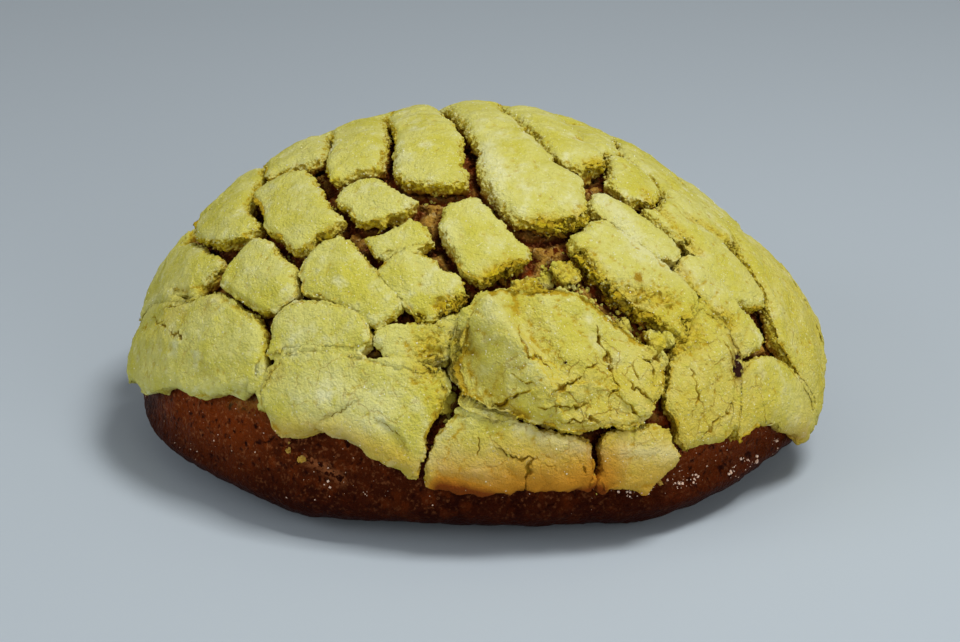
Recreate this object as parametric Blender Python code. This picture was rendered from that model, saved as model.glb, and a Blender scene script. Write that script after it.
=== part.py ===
"""A large concha: a domed sweet bun under a disc of sugar paste that cracked into plates as it baked.

The paste is laid out flat, as the baker rolls and scores it: u runs right and v runs back, in
millimetres from the disc's centre. Each plate of paste grows out from a short spine until it meets
the crack round its neighbour, and is then wrapped over the bun. The frame is +Z up with its origin
at the middle of the flat base, and the side that shows its broken plates best faces -Y.
"""

import bisect
import math
from typing import NamedTuple

import bmesh
import bpy
from mathutils import Vector

MM = 0.001

# The bun, in millimetres. It is a little longer from side to side than from front to back.
# The dome is an ellipse whose shoulders slope a little (a power of 2 would be a true ellipse).
BUN_HALF_LENGTH = 69.0
DEPTH_SHARE = 0.88
BUN_HEIGHT = 62.0
WIDEST_HEIGHT = 10.0
BASE_HALF_LENGTH = 45.0
SHOULDER_POWER = 1.88
TUCK_POWER = 1.5
BUN_SEGMENTS = 48
BUN_RINGS = 19
PROFILE_STEPS = 400

# The swells die away over this length of the tucked-in side, so that the base stays flat.
SWELL_FADE = 18.0

# Where the dome swells or sinks under the paste: u, v, radius and height.
SWELLS = (
    (14, -65, 16, 2.8),
    (-7, -67, 10, -1.8),
    (12, -46, 8, -1.2),
    (32, -54, 7, -1.6),
    (52, 12, 28, -4.6),
    (-74, -4, 13, -1.6),
    (35, -79, 9, 1.0),
    (62, -92, 26, 2.6),
    (-52, -94, 16, 2.0),
)

# The paste's edge: how far the disc reaches from its centre, and where it swings in or out,
# as bearing in degrees, half width in degrees and reach.
HEM_REACH = 88.5
HEM_SWINGS = (
    (190, 8, 2.0),
    (212, 9, -3.5),
    (230, 11, -9.0),
    (248, 7, -5.0),
    (272, 9, 3.0),
    (292, 9, 4.5),
    (304, 5, -2.5),
    (336, 9, 7.0),
    (60, 25, -3.0),
    (130, 18, 2.5),
)
SCALLOPS = ((11, 0.0, 0.7), (23, 1.0, 0.5))

# Cracks are hairlines where the plates still touch, and gape at these places: u, v, radius, width.
HAIRLINE = 0.55
GAPES = (
    (-7, -31, 7, 2.6),
    (-22, -36, 7, 1.4),
    (-30, -14, 8, 1.8),
    (-40, -36, 7, 1.2),
    (-55, -26, 11, 1.6),
    (-43, -12, 7, 0.6),
    (-12, -43, 6, 0.5),
    (19, 6, 9, 0.3),
    (-45, -48, 7, 1.4),
    (-27, -52, 6, 0.4),
    (-17, -22, 8, 1.2),
    (-2, -20, 9, 1.0),
    (12, -43, 9, 2.6),
    (24, -20, 6, 1.8),
    (28, -54, 7, 3.0),
    (2, -54, 6, 1.4),
    (-20, -62, 6, 1.2),
    (-9, -76, 7, 1.6),
    (41, -69, 5, 2.4),
    (15, -79, 8, 1.6),
    (24, -82, 5, 1.0),
    (64, -40, 7, 1.4),
    (54, -18, 4, 1.0),
    (-62, 32, 16, 1.0),
    (-36, 44, 12, 1.4),
    (-8, 64, 14, 1.0),
    (8, 34, 12, 0.8),
    (34, 62, 14, 1.2),
    (60, 30, 16, 1.0),
)

# A crack wanders on both axes: how far it strays, over what length it comes back, and how the
# waves of one axis slant along the other.
STRAY = 0.6
STRAY_LENGTH = 34.0
STRAY_SLANT = 0.06

# Plates, in millimetres: the gap that keeps their foot and their hollow underside off the bun,
# the height of the broken wall as a share of the full thickness, and the rounded rim's place
# between the wall and the spine.
FOOT_LIFT = 0.45
KEEL_LIFT = 1.4
WALL_SHARE = 0.7
RIM_SHARE = 0.88
RIM_HEIGHT = 0.94
SPINE_STEP = 6.0
FAN_RAYS = 9
CHIP_GIRTH = 4.0
CHIP_RAYS = 5
LEAST_REACH = 1.2
SEARCH_STEPS = 14

# A plate with nothing beside it runs past its girth by this share of it, and the slack.
SPREAD = 0.15
SPREAD_SLACK = 1.0


class Plate(NamedTuple):
    """A plate of paste: the two ends of its spine, its half width about it, its thickness, and how
    round its corners are, as a share of its half width."""

    start: tuple
    end: tuple
    girth: float
    thickness: float
    rounding: float = 0.35


# The plates of the side that broke up as it baked, from the left end to the right.
PLATES = {
    "skirt_left": Plate((-80, -20), (-55, -50), 10.5, 4.0),
    "side_left": Plate((-72, -2), (-59, -22), 7.0, 4.2),
    "long_left": Plate((-51.5, 0), (-50, -17), 7.0, 4.6, 0.6),
    "top_left": Plate((-51, 18), (-51, 14), 6.5, 4.2),
    "square_left": Plate((-40, -10), (-33, -28), 6.5, 4.4),
    "crown_1": Plate((-37, 16), (-37, 2), 6.5, 4.2),
    "crown_2": Plate((-23, 16), (-22.5, -13), 5.5, 4.4),
    "crown_3": Plate((-11, 16), (-9, -20), 7.0, 4.6),
    "crown_long": Plate((-1, 16), (12, -29), 8.0, 5.0),
    "crown_4": Plate((9, 14), (18, -9), 7.5, 4.6, 0.6),
    "crown_5": Plate((22, 15), (24.5, -1), 4.4, 4.0, 0.7),
    "small_left": Plate((-22, -25), (-18, -29.5), 5.5, 4.0),
    "small_middle": Plate((-18, -40), (-12, -39), 3.8, 3.8, 0.6),
    "middle_left": Plate((-14, -48), (-8, -54), 5.3, 4.2),
    "middle_right": Plate((-2.5, -38), (2.5, -45), 6.0, 4.6),
    "slope_left": Plate((-46, -33), (-40, -42), 5.5, 4.2),
    "slope_middle": Plate((-30, -42), (-20, -53), 5.5, 4.2),
    "slope_lower": Plate((-38, -53), (-27, -57), 6.0, 4.0),
    "saddle": Plate((-16, -61.5), (-7, -61), 3.4, 3.8),
    "skirt_front_left": Plate((-37, -66), (-18, -76), 9.5, 4.0),
    "front_boulder": Plate((8, -65.2), (28, -67.2), 12.2, 5.4, 0.8),
    "skirt_front": Plate((-4, -85), (20, -85.5), 7.0, 4.2),
    "skirt_block": Plate((32, -79.5), (39, -77), 6.5, 4.4),
    "front_right": Plate((50, -52), (47, -64), 8.0, 4.2),
    "skirt_right": Plate((64, -53), (80, -42), 8.0, 4.2),
    "slope_right": Plate((27, -40), (37, -46), 7.5, 4.6),
    "ledge_right": Plate((47, -38), (56, -42), 5.0, 4.2),
    "strip_right": Plate((27, -27.5), (35, -31), 4.5, 3.8),
    "shoulder_1": Plate((31, -8), (31, -16), 5.5, 4.2, 0.7),
    "shoulder_2": Plate((39, -21), (53, -29), 6.0, 4.2),
    "shoulder_3": Plate((38, 7), (47, -11), 8.0, 4.2, 0.8),
    "flank_right": Plate((66, -8), (79, -27), 12.5, 4.4, 1.0),
    "end_right": Plate((82, -3), (80, 6), 7.5, 4.0, 1.0),
    "chip_1": Plate((16.5, -46.5), (17.5, -46), 2.2, 3.0, 1.0),
    "chip_2": Plate((7, -52.6), (11, -51.8), 2.2, 2.8, 1.0),
    "chip_3": Plate((-5.2, -58.2), (-3.6, -59.2), 2.5, 3.4, 1.0),
    "chip_4": Plate((36, -54.5), (38.5, -54), 2.4, 3.0, 1.0),
}

# The side that doesn't show keeps the regular scored squares: rows of spines, as the row's v,
# the u of its first spine, how many there are and how far apart. A row's ends bend forward.
BACK_ROWS = (
    (34, -72, 9, 18.0),
    (55, -57, 8, 16.3),
    (76, -34, 5, 17.0),
)
ROW_BEND = 0.0022
BACK_SPINE = 7.0
BACK_GIRTH = 9.0
BACK_THICKNESS = 4.0
BACK_LEAN = -0.10

CRUST_BROWN = (0.16, 0.065, 0.028, 1.0)
CRUST_ROUGHNESS = 0.5
PASTE_YELLOW = (0.66, 0.58, 0.24, 1.0)
PASTE_ROUGHNESS = 0.85


def profile(t):
    """Distance from the axis and height of the outline: t is 0 to 1 over the dome, 1 to 2 below it."""
    if t <= 1:
        a = t * math.pi / 2
        return (
            BUN_HALF_LENGTH * math.sin(a) ** (2 / SHOULDER_POWER),
            WIDEST_HEIGHT + (BUN_HEIGHT - WIDEST_HEIGHT) * math.cos(a) ** (2 / SHOULDER_POWER),
        )
    a = (t - 1) * math.pi / 2
    return (
        BASE_HALF_LENGTH + (BUN_HALF_LENGTH - BASE_HALF_LENGTH) * math.cos(a) ** TUCK_POWER,
        WIDEST_HEIGHT * (1 - math.sin(a)),
    )


def arc_table():
    """The outline's points and the arc length from the crown to each of them."""
    points = [profile(2 * i / PROFILE_STEPS) for i in range(PROFILE_STEPS + 1)]
    arcs = [0.0]
    for a, b in zip(points, points[1:]):
        arcs.append(arcs[-1] + math.dist(a, b))
    return points, arcs


OUTLINE, ARCS = arc_table()


def bump(distance, radius):
    """A smooth hill, 1 at its centre."""
    return math.exp(-((distance / radius) ** 2))


def swell(u, v):
    fade = min(1, (ARCS[-1] - math.hypot(u, v)) / SWELL_FADE)
    return fade * sum(h * bump(math.dist((u, v), (a, b)), r) for a, b, r, h in SWELLS)


def wrap(u, v, lift):
    """The point of space where a point of the flat paste comes to lie, lift above the bun."""
    arc = math.hypot(u, v)
    i = min(max(bisect.bisect(ARCS, arc), 1), PROFILE_STEPS)
    (r0, z0), (r1, z1) = OUTLINE[i - 1], OUTLINE[i]
    step = ARCS[i] - ARCS[i - 1]
    share = (arc - ARCS[i - 1]) / step
    r, z = r0 + share * (r1 - r0), z0 + share * (z1 - z0)
    x, y = (u / arc, v / arc) if arc else (0.0, 0.0)
    out, rise = (z0 - z1) / step, (r1 - r0) / step
    normal = Vector((out * x * DEPTH_SHARE, out * y, rise * DEPTH_SHARE)).normalized()
    return MM * (Vector((r * x, r * y * DEPTH_SHARE, z)) + lift * normal)


def over_bun(u, v, lift):
    return wrap(u, v, lift + swell(u, v))


def hem(u, v):
    """How far the paste reaches on this bearing."""
    bearing = math.degrees(math.atan2(v, u)) % 360
    reach = HEM_REACH
    for middle, width, swing in HEM_SWINGS:
        away = (bearing - middle + 180) % 360 - 180
        reach += swing * bump(away, width)
    turn = math.radians(bearing)
    return reach + sum(h * math.sin(n * turn + phase) for n, phase, h in SCALLOPS)


def crack_width(u, v):
    return HAIRLINE + sum(w * bump(math.dist((u, v), (a, b)), r) for a, b, r, w in GAPES)


def strayed(u, v):
    """The place a point would have if the cracks ran smooth."""
    turn = 2 * math.pi / STRAY_LENGTH
    return (
        u + STRAY * math.sin(turn * v + STRAY_SLANT * u),
        v + STRAY * math.sin(turn * u - STRAY_SLANT * v),
    )


def past_edge(p, plate):
    """How far p lies past the edge of a rounded rectangle about the plate's spine."""
    (ax, ay), (bx, by) = plate.start, plate.end
    length = math.dist(plate.start, plate.end)
    dx, dy = (bx - ax) / length, (by - ay) / length
    x, y = p[0] - (ax + bx) / 2, p[1] - (ay + by) / 2
    flat = plate.girth * (1 - plate.rounding)
    along = abs(x * dx + y * dy) - length / 2 - flat
    across = abs(y * dx - x * dy) - flat
    corner = math.hypot(max(along, 0), max(across, 0)) + min(max(along, across), 0)
    return corner - plate.girth * plate.rounding


def in_plate(p, plate, others):
    """Whether p is within the hem, within the plate's spread, and short of the next crack."""
    if math.hypot(*p) > hem(*p):
        return False
    place = strayed(*p)
    run = past_edge(place, plate)
    if run > plate.girth * SPREAD + SPREAD_SLACK:
        return False
    room = run + crack_width(*p)
    return all(past_edge(place, other) > room for other in others)


def reach(start, heading, plate, others):
    """How far the plate runs from its spine on this heading, by halving the search."""
    near, far = 0.0, 2 * plate.girth
    for _ in range(SEARCH_STEPS):
        middle = (near + far) / 2
        p = (start[0] + middle * heading[0], start[1] + middle * heading[1])
        if in_plate(p, plate, others):
            near = middle
        else:
            far = middle
    return max(near, LEAST_REACH)


def rays_from(plate):
    """The spine's points, and each ray round it as the index of its point and its heading."""
    (ax, ay), (bx, by) = plate.start, plate.end
    length = math.dist(plate.start, plate.end)
    fan_rays = CHIP_RAYS if plate.girth < CHIP_GIRTH else FAN_RAYS
    steps = max(1, round(length / SPINE_STEP))
    points = [
        (ax + (bx - ax) * i / steps, ay + (by - ay) * i / steps)
        for i in range(steps + 1)
    ]
    along = math.atan2(by - ay, bx - ax)

    def fan(index, middle):
        turns = [math.pi * (k / (fan_rays - 1) - 0.5) for k in range(fan_rays)]
        return [(index, middle + turn) for turn in turns]

    rays = fan(steps, along)
    rays += [(i, along + math.pi / 2) for i in range(steps - 1, 0, -1)]
    rays += fan(0, along + math.pi)
    rays += [(i, along - math.pi / 2) for i in range(1, steps)]
    return points, [(i, (math.cos(a), math.sin(a))) for i, a in rays]


def ring_of(bm, outline, share, lift):
    """A ring of points at this share of the way from the spine to the plate's edge."""
    return [
        bm.verts.new(over_bun(su + share * (eu - su), sv + share * (ev - sv), lift))
        for (su, sv), (eu, ev) in outline
    ]


def join_rings(bm, lower, upper):
    for i in range(len(lower)):
        j = (i + 1) % len(lower)
        bm.faces.new((lower[i], lower[j], upper[j], upper[i]))


def join_spine(bm, ring, spine_verts, indices, flip):
    """Closes the last ring on the spine: triangles round a point, quads between two of them."""
    for i in range(len(ring)):
        j = (i + 1) % len(ring)
        corners = [ring[i], ring[j], spine_verts[indices[j]]]
        if indices[i] != indices[j]:
            corners.append(spine_verts[indices[i]])
        bm.faces.new(corners[::-1] if flip else corners)


def outline_of(plate, others):
    """Each ray's foot on the spine and its end on the plate's edge."""
    points, rays = rays_from(plate)
    outline = []
    for index, heading in rays:
        start = points[index]
        run = reach(start, heading, plate, others)
        outline.append((start, (start[0] + run * heading[0], start[1] + run * heading[1])))
    return points, [index for index, _ in rays], outline


def make_plate(name, plate, others, paste):
    """A broken wall that stands on the foot, a rounded rim, and a top that rises to the spine."""
    thickness = plate.thickness
    points, indices, outline = outline_of(plate, others)
    bm = bmesh.new()
    foot = ring_of(bm, outline, 1.0, FOOT_LIFT)
    wall = ring_of(bm, outline, 1.0, FOOT_LIFT + WALL_SHARE * thickness)
    rim = ring_of(bm, outline, RIM_SHARE, FOOT_LIFT + RIM_HEIGHT * thickness)
    join_rings(bm, foot, wall)
    join_rings(bm, wall, rim)
    ridge = [bm.verts.new(over_bun(u, v, FOOT_LIFT + thickness)) for u, v in points]
    join_spine(bm, rim, ridge, indices, flip=False)
    keel = [bm.verts.new(over_bun(u, v, KEEL_LIFT)) for u, v in points]
    join_spine(bm, foot, keel, indices, flip=True)
    add_object(name, bm, paste)


def make_bun(crust):
    """Rings of the outline from the flat base up to the crown."""
    bm = bmesh.new()
    last = None
    for k in range(BUN_RINGS):
        arc = ARCS[-1] * (1 - k / BUN_RINGS)
        ring = []
        for i in range(BUN_SEGMENTS):
            turn = 2 * math.pi * i / BUN_SEGMENTS
            ring.append(bm.verts.new(over_bun(arc * math.cos(turn), arc * math.sin(turn), 0)))
        if last is None:
            for vert in ring:
                vert.co.z = 0
            bm.faces.new(ring[::-1])
        else:
            join_rings(bm, last, ring)
        last = ring
    crown = bm.verts.new(over_bun(0, 0, 0))
    join_spine(bm, last, [crown], [0] * BUN_SEGMENTS, flip=False)
    add_object("bun", bm, crust)


def add_object(name, bm, material):
    mesh = bpy.data.meshes.new(name)
    bm.normal_update()
    bm.to_mesh(mesh)
    bm.free()
    mesh.materials.append(material)
    mesh.shade_smooth()
    obj = bpy.data.objects.new(name, mesh)
    bpy.context.scene.collection.objects.link(obj)


def make_material(name, colour, roughness):
    material = bpy.data.materials.new(name)
    material.use_nodes = True
    shader = material.node_tree.nodes["Principled BSDF"]
    shader.inputs["Base Color"].default_value = colour
    shader.inputs["Roughness"].default_value = roughness
    return material


def back_plates():
    """The scored squares of the far side, named by row and column."""
    found = {}
    for row, (v, first, count, pitch) in enumerate(BACK_ROWS, 1):
        for column in range(count):
            u = first + column * pitch
            middle = v - ROW_BEND * u * u
            lean = BACK_LEAN * u
            start = u - lean / 2, middle - BACK_SPINE / 2
            end = u + lean / 2, middle + BACK_SPINE / 2
            found[f"back_{row}_{column + 1}"] = Plate(start, end, BACK_GIRTH, BACK_THICKNESS)
    return found


def main():
    for obj in list(bpy.data.objects):
        bpy.data.objects.remove(obj)
    crust = make_material("bun_crust", CRUST_BROWN, CRUST_ROUGHNESS)
    paste = make_material("sugar_paste", PASTE_YELLOW, PASTE_ROUGHNESS)
    make_bun(crust)
    plates = {**PLATES, **back_plates()}
    for name, plate in plates.items():
        others = [other for key, other in plates.items() if key != name]
        make_plate(name, plate, others, paste)


main()
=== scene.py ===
"""A large concha: a sweet bun under a pale yellow disc of sugar paste that broke into plates as
it baked. Places on the paste are given on the disc laid flat, before it goes over the bun: u runs
right and v runs back, in millimetres from the crown."""

import math
import random

import bpy
import numpy as np
from mathutils import Matrix, Vector, noise
from mathutils.bvhtree import BVHTree


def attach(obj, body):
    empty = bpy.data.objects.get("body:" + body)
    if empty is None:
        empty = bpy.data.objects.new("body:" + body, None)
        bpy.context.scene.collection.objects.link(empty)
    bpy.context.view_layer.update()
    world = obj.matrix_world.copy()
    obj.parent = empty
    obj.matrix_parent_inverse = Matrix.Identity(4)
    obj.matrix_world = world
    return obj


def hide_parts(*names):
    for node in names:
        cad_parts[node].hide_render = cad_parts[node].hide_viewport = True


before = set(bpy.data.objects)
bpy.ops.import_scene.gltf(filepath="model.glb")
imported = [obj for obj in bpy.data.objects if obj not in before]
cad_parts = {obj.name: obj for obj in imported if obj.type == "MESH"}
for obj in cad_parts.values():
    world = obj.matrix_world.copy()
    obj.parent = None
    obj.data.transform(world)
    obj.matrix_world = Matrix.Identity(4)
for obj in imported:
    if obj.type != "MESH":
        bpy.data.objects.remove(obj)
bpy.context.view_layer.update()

# ----------------------------------------------------------------------
# The bun: a yeast dough that rose to a dome and baked to a thin brown crust. The crust is smooth
# and dark low on its side, where it tucks in to the flat base, and torn and flaky under the paste.
# Its colour darkens towards the base, partly the crust's own colour and partly painted shade, and
# a painted shadow lies along its low front.
# ----------------------------------------------------------------------
MM = 0.001
BUN_HALF_LENGTH, BUN_DEPTH_SHARE = 69.0, 0.88
BUN_HEIGHT, WIDEST_HEIGHT, BASE_HALF_LENGTH = 62.0, 10.0, 45.0
SHOULDER_POWER, TUCK_POWER = 1.88, 1.5
PASTE_DEPTH = 3.5
PIVOT_HEIGHT = 18.0


def outline_of_bun():
    """The outline from crown to base: arc lengths, places (out, up) and their outward normals."""
    turn = np.linspace(0, math.pi / 2, 400)
    out = BUN_HALF_LENGTH * np.sin(turn) ** (2 / SHOULDER_POWER)
    up = WIDEST_HEIGHT + (BUN_HEIGHT - WIDEST_HEIGHT) * np.cos(turn) ** (2 / SHOULDER_POWER)
    low = turn[1:]
    tuck = BUN_HALF_LENGTH - BASE_HALF_LENGTH
    out = np.append(out, BASE_HALF_LENGTH + tuck * np.cos(low) ** TUCK_POWER)
    up = np.append(up, WIDEST_HEIGHT * (1 - np.sin(low)))
    arc = np.append(0, np.cumsum(np.hypot(np.diff(out), np.diff(up))))
    return arc, np.stack((out, up), 1), np.stack((-np.gradient(up, arc), np.gradient(out, arc)), 1)


ARC, ARC_PLACE, ARC_NORMAL = outline_of_bun()
lifted = ARC_PLACE + PASTE_DEPTH * ARC_NORMAL
ARC_TURN = np.arctan2(lifted[:, 0], lifted[:, 1] - PIVOT_HEIGHT)


def laid_flat(points):
    """Where points of the shaped paste lie on the flat disc, as u and v in millimetres."""
    x, y, z = points.T / MM
    bearing = np.arctan2(y / BUN_DEPTH_SHARE, x)
    turn = np.arctan2(np.hypot(x, y / BUN_DEPTH_SHARE), z - PIVOT_HEIGHT)
    arc = np.interp(turn, ARC_TURN, ARC)
    return np.stack((arc * np.cos(bearing), arc * np.sin(bearing)), 1)


def shaped(u, v, lift):
    """The place of a point of the flat disc over the bun, lift millimetres above it, and the
    direction that points outwards there."""
    arc, bearing = math.hypot(u, v), math.atan2(v, u)
    out, up = (np.interp(arc, ARC, column) for column in ARC_PLACE.T)
    side, rise = (np.interp(arc, ARC, column) for column in ARC_NORMAL.T)
    normal = Vector((
        side * math.cos(bearing) * BUN_DEPTH_SHARE, side * math.sin(bearing), rise * BUN_DEPTH_SHARE
    )).normalized()
    place = Vector((out * math.cos(bearing), out * math.sin(bearing) * BUN_DEPTH_SHARE, up))
    return MM * (place + lift * normal), normal


def outward(points):
    """The dome's outward direction at each point."""
    way = points - np.array((0, 0, WIDEST_HEIGHT * MM))
    way[:, 2] = np.maximum(way[:, 2], -4 * MM)
    half = (BUN_HALF_LENGTH, BUN_HALF_LENGTH * BUN_DEPTH_SHARE, BUN_HEIGHT - WIDEST_HEIGHT)
    way = way / np.array(half) ** 2
    return way / np.linalg.norm(way, axis=1)[:, None]


def read_all(items, key):
    """One vector for each vertex or polygon."""
    found = np.empty(len(items) * 3, np.float32)
    items.foreach_get(key, found)
    return found.reshape(-1, 3).astype(float)


def read_points(piece):
    return read_all(piece.data.vertices, "co")


def move_points(piece, points):
    piece.data.vertices.foreach_set("co", points.astype(np.float32).ravel())
    piece.data.update()


def read_normals(piece):
    return read_all(piece.data.vertex_normals, "vector")


def facing_out(piece):
    """How squarely each point of the piece faces outwards, from -1 to 1."""
    return (read_normals(piece) * outward(read_points(piece))).sum(1)


def faces_of(piece):
    """The middle of each face, the way it faces and how squarely it faces outwards."""
    middles, ways = (read_all(piece.data.polygons, key) for key in ("center", "normal"))
    return middles, ways, (ways * outward(middles)).sum(1)


def select_only(piece):
    bpy.ops.object.select_all(action="DESELECT")
    piece.select_set(True)
    bpy.context.view_layer.objects.active = piece


def copy_of(node, name):
    """A CAD node's mesh as a new piece, with its loose triangles merged."""
    piece = bpy.data.objects.new(name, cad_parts[node].data.copy())
    bpy.context.collection.objects.link(piece)
    select_only(piece)
    piece.data.materials.clear()
    bpy.ops.object.mode_set(mode="EDIT")
    bpy.ops.mesh.select_all(action="SELECT")
    bpy.ops.mesh.remove_doubles(threshold=1e-6)
    bpy.ops.object.mode_set(mode="OBJECT")
    return piece


def surface_of(nodes):
    """A search tree of CAD nodes, which finds the nearest point on them."""
    points, faces = [], []
    for node in nodes:
        mesh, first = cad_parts[node].data, len(points)
        points += [vertex.co for vertex in mesh.vertices]
        faces += [[first + i for i in polygon.vertices] for polygon in mesh.polygons]
    return BVHTree.FromPolygons(points, faces)


def gap_to(surface, points):
    """Each point's distance from a surface in millimetres."""
    return np.array([surface.find_nearest(point)[3] for point in points.tolist()]) / MM


def finish_with(piece, kind, **settings):
    """Adds a modifier to the piece and applies it."""
    modifier = piece.modifiers.new(kind.lower(), kind)
    for key, value in settings.items():
        setattr(modifier, key, value)
    bpy.context.view_layer.objects.active = piece
    bpy.ops.object.modifier_apply(modifier=modifier.name)


def split_faces(piece, chosen, cuts):
    """Subdivides the chosen faces, for finer relief there."""
    piece.data.vertices.foreach_set("select", np.zeros(len(piece.data.vertices), bool))
    piece.data.edges.foreach_set("select", np.zeros(len(piece.data.edges), bool))
    piece.data.polygons.foreach_set("select", chosen)
    select_only(piece)
    bpy.context.tool_settings.mesh_select_mode = (False, False, True)
    bpy.ops.object.mode_set(mode="EDIT")
    bpy.ops.mesh.subdivide(number_cuts=cuts)
    bpy.ops.object.mode_set(mode="OBJECT")


def relief(name, size, **settings):
    """A cloudy texture for Displace, with its grain's size in millimetres."""
    texture = bpy.data.textures.new(name, "CLOUDS")
    texture.noise_scale = size * MM
    for key, value in settings.items():
        setattr(texture, key, value)
    return texture


def weigh(piece, name, weights):
    """A vertex group with one weight for each point."""
    group = piece.vertex_groups.new(name=name)
    for i in np.flatnonzero(weights > 0.003).tolist():
        group.add((i,), float(weights[i]), "REPLACE")


def press(piece, texture, height, group="", middle=0.5):
    """Displaces the piece by a texture: height in millimetres from its lowest to its highest. A
    coloured texture moves each point sideways too."""
    finish_with(
        piece, "DISPLACE", texture=texture, texture_coords="LOCAL", strength=height * MM,
        mid_level=middle, vertex_group=group,
        direction="RGB_TO_XYZ" if texture.cloud_type == "COLOR" else "NORMAL",
    )


def keep_mask(piece, name, values):
    """Stores a mask on the piece's points for its material."""
    layer = piece.data.attributes.get(name) or piece.data.attributes.new(name, "FLOAT", "POINT")
    layer.data.foreach_set("value", values.astype(np.float32))


def read_mask(piece, name):
    found = np.empty(len(piece.data.vertices), np.float32)
    piece.data.attributes[name].data.foreach_get("value", found)
    return found.astype(float)


def ramp(values, low, high):
    """0 at low, 1 at high, smooth between."""
    share = np.clip((values - low) / (high - low), 0, 1)
    return share * share * (3 - 2 * share)


def hill(distance, radius):
    return np.exp(-((distance / radius) ** 2))


def line_gap(flat, line):
    """Each place's distance from a line of points on the flat disc, which of its sides it is on
    (positive to the left of the line's run) and how far along the line it lies."""
    best, sides, runs, done = np.full(len(flat), 1e9), np.zeros(len(flat)), np.zeros(len(flat)), 0.0
    line = np.array(line if len(line) > 1 else (line[0], np.add(line[0], 0.01)), float)
    for a, b in zip(line[:-1], line[1:]):
        span = np.linalg.norm(b - a)
        way, from_a = (b - a) / span, flat - a
        along = np.clip(from_a @ way, 0, span)
        gap = np.linalg.norm(from_a - along[:, None] * way, axis=1)
        near = gap < best
        best = np.where(near, gap, best)
        sides = np.where(near, way[0] * from_a[:, 1] - way[1] * from_a[:, 0], sides)
        runs = np.where(near, done + along, runs)
        done += span
    return best, sides, runs


def marked(flat, marks):
    """How strongly each place is marked. A mark is its strength, its radius and its line."""
    strength = np.zeros(len(flat))
    for share, radius, *line in marks:
        strength = np.maximum(strength, share * hill(line_gap(flat, line)[0], radius))
    return strength


BUN_VOXEL, FINER_FROM = 1.05, 22.0
TORN_HEIGHTS, DARK_HEIGHTS = (20.0, 28.0), (3.0, 21.0)
BARE_SWELL, PRESSED_IN, SCAR_DEPTH, TUCK_SWELL = 1.6, 0.5, 0.8, 2.5
# Places on the crust's side: strength, radius and a line.
SCARS = (
    (1.0, 1.0, (-48.2, -69.3), (-46, -72), (-43.9, -73.7)),
    (1.0, 0.8, (-42.4, -78.4), (-38.5, -81.5), (-33.9, -85.6)),
)
RUDDY = (
    (0.9, 13, (-72, -50), (-60, -62)), (0.3, 6, (-36, -77), (-28, -82)),
    (1.0, 11, (56, -74), (74, -60), (82, -48)),
)
# Painted shadow: a darker band low on the crust's front, where shade falls at the base.
BOTTOM_SHADE = ((0.65, 11, (-40, -86), (-12, -97), (30, -94)),)
bun_surface = surface_of(["bun"])
paste_surface = surface_of([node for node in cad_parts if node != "bun"])


def bared(points):
    """How far the crust lies bare: the distance to the nearest paste a little above it, in
    millimetres."""
    return gap_to(paste_surface, points + 1.5 * MM * outward(points))


bun = copy_of("bun", "bun_crust")
finish_with(bun, "REMESH", mode="VOXEL", voxel_size=BUN_VOXEL * MM)
finish_with(bun, "SMOOTH", factor=0.5, iterations=12)
middles = read_all(bun.data.polygons, "center")
split_faces(bun, (bared(middles) > 0.5) & (middles[:, 2] > FINER_FROM * MM), 1)
points = read_points(bun)
flat, heights, bare = laid_flat(points), points[:, 2] / MM, bared(points)
high, scar = ramp(heights, *TORN_HEIGHTS), marked(flat, SCARS)
swell = high * (BARE_SWELL * ramp(bare, 0.4, 2.2) - PRESSED_IN) - SCAR_DEPTH * scar
swell += TUCK_SWELL * ramp(heights, 0.0, 4.0) * (1 - ramp(heights, 5.0, 12.0))
move_points(bun, points + outward(points) * swell[:, None] * MM)
weigh(bun, "standing", ramp(heights, 0.3, 3.0) * (1 - 0.7 * high))
weigh(bun, "torn", high)
press(bun, relief("crust_swell", 14.0, noise_depth=1), 1.4, "standing")
press(bun, relief("crust_wrinkle", 3.0, noise_depth=3), 0.9, "standing")
press(bun, relief("crust_tear", 2.0, noise_depth=3), 2.2, "torn")
keep_mask(bun, "bare", high * ramp(bare, 0.3, 1.8))
# Darker towards the base: partly the crust's own colour, partly painted shade, plus the painted
# shadow along the low front.
keep_mask(bun, "low", np.maximum(1 - ramp(heights, *DARK_HEIGHTS), marked(flat, BOTTOM_SHADE)))
keep_mask(bun, "scar", scar)
keep_mask(bun, "ruddy", marked(flat, RUDDY))
bun.data.shade_smooth()


def new_material(name, roughness, shine):
    material = bpy.data.materials.new(name)
    material.use_nodes = True
    shader = material.node_tree.nodes["Principled BSDF"]
    shader.inputs["Roughness"].default_value = roughness
    shader.inputs["Specular IOR Level"].default_value = shine
    return material, material.node_tree, shader


def add_node(tree, kind, inputs=(), **settings):
    """A shader node with its settings and inputs, each a value or another node's socket."""
    node = tree.nodes.new(kind)
    for key, value in settings.items():
        setattr(node, key, value)
    for key, value in dict(inputs).items():
        if isinstance(value, bpy.types.NodeSocket):
            tree.links.new(value, node.inputs[key])
        else:
            node.inputs[key].default_value = value
    return node


def compute(tree, operation, one, other, **settings):
    return add_node(
        tree, "ShaderNodeMath", {0: one, 1: other}, operation=operation, **settings
    ).outputs[0]


def attribute(tree, name):
    return add_node(tree, "ShaderNodeAttribute", attribute_name=name).outputs["Fac"]


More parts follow.
